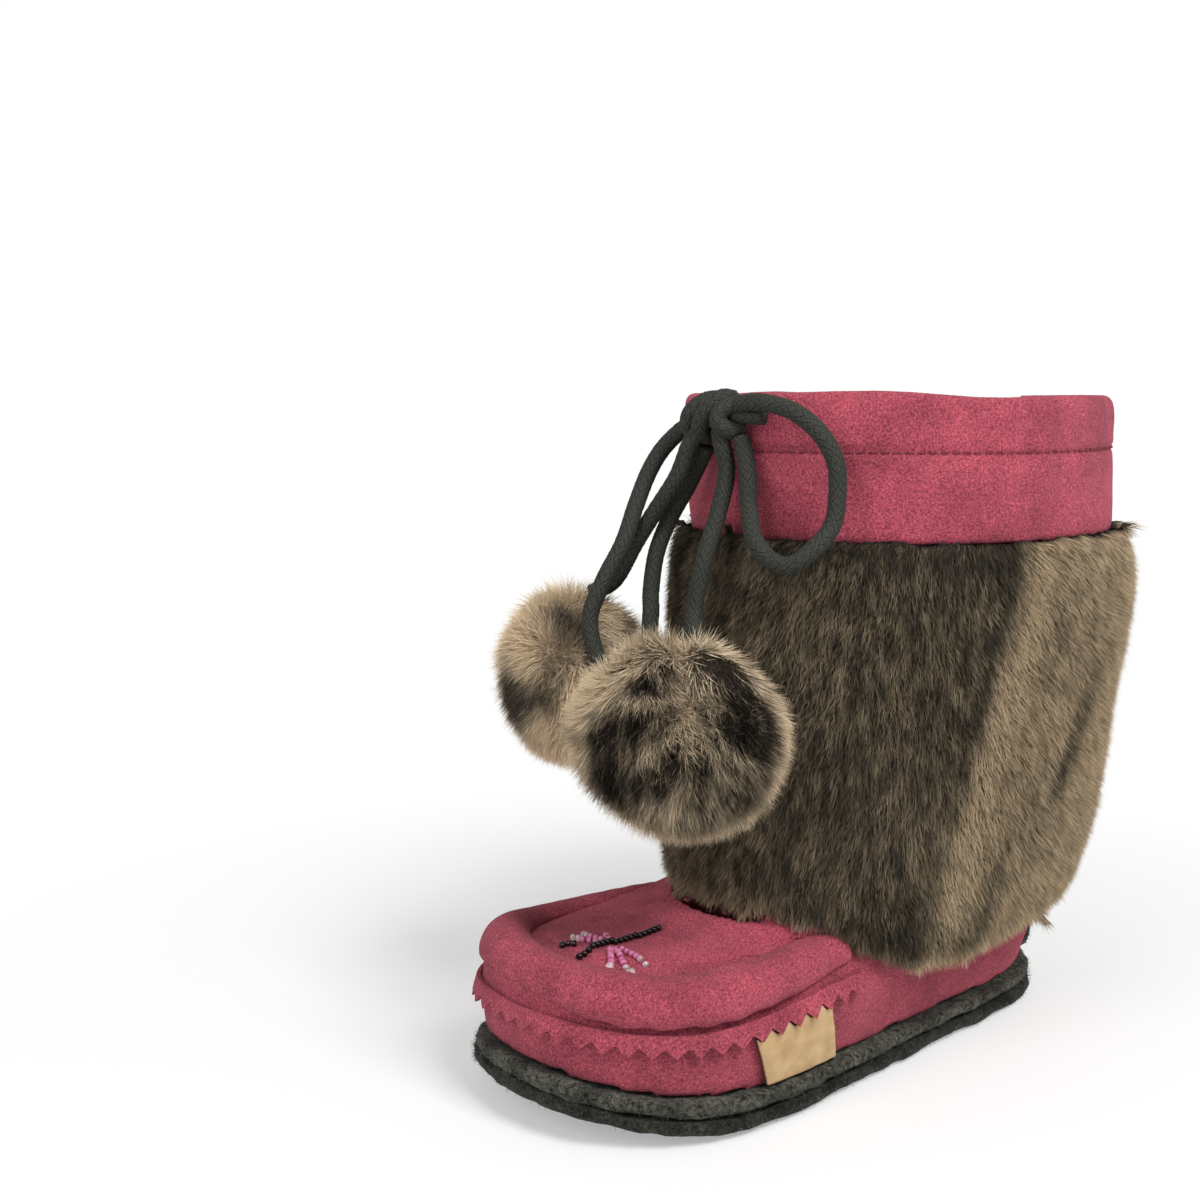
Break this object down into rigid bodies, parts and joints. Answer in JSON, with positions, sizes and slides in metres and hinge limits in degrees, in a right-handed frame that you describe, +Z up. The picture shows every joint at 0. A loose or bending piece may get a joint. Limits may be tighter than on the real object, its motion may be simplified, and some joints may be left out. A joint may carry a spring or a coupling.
{
  "type": "mukluk boot",
  "caption": "Child's left mukluk: red suede moccasin foot, deep fur cuff, folded suede collar with a tied drawcord and fur pompoms, layered felt sole.",
  "frame": {"origin": "on the floor under the middle of the sole", "axes": "+X to the toe, +Y to the outer side of the left foot, +Z up"},
  "size_m": [0.2263, 0.1437, 0.195],
  "materials": {
    "outsole": "dense wool felt, dark",
    "midsole": "dense wool felt, grey-green",
    "insole": "felt sock",
    "heel_tab": "dense wool felt",
    "upper": "suede, short nap",
    "apron": "suede, beaded",
    "rolled_cuff": "suede, gathered",
    "pinked_trim": "suede, pinked edge",
    "label": "smooth tan leather, bare",
    "fur_cuff": "long fur, dark with beige tips",
    "collar": "suede, folded band",
    "bow_knot": "braided cord",
    "bow_loop_outer": "braided cord",
    "bow_loop_inner": "braided cord",
    "cord_end_dark": "braided cord",
    "cord_end_light": "braided cord",
    "pompom_dark": "fur ball, dark with a pale rim",
    "pompom_light": "fur ball, cream"
  },
  "bodies": {
    "root": {"outsole": "outsole", "midsole": "midsole", "insole": "insole", "heel_tab": "heel_tab", "upper": "upper", "apron": "apron", "rolled_cuff": "rolled_cuff", "pinked_trim": "pinked_trim", "label": "label", "fur_cuff": "fur_cuff", "collar": "collar", "bow_knot": "bow_knot", "bow_loop_outer": "bow_loop_outer", "bow_loop_inner": "bow_loop_inner", "cord_end_dark": "cord_end_dark", "cord_end_light": "cord_end_light", "pompom_dark": "pompom_dark", "pompom_light": "pompom_light"}
  },
  "joints": []
}
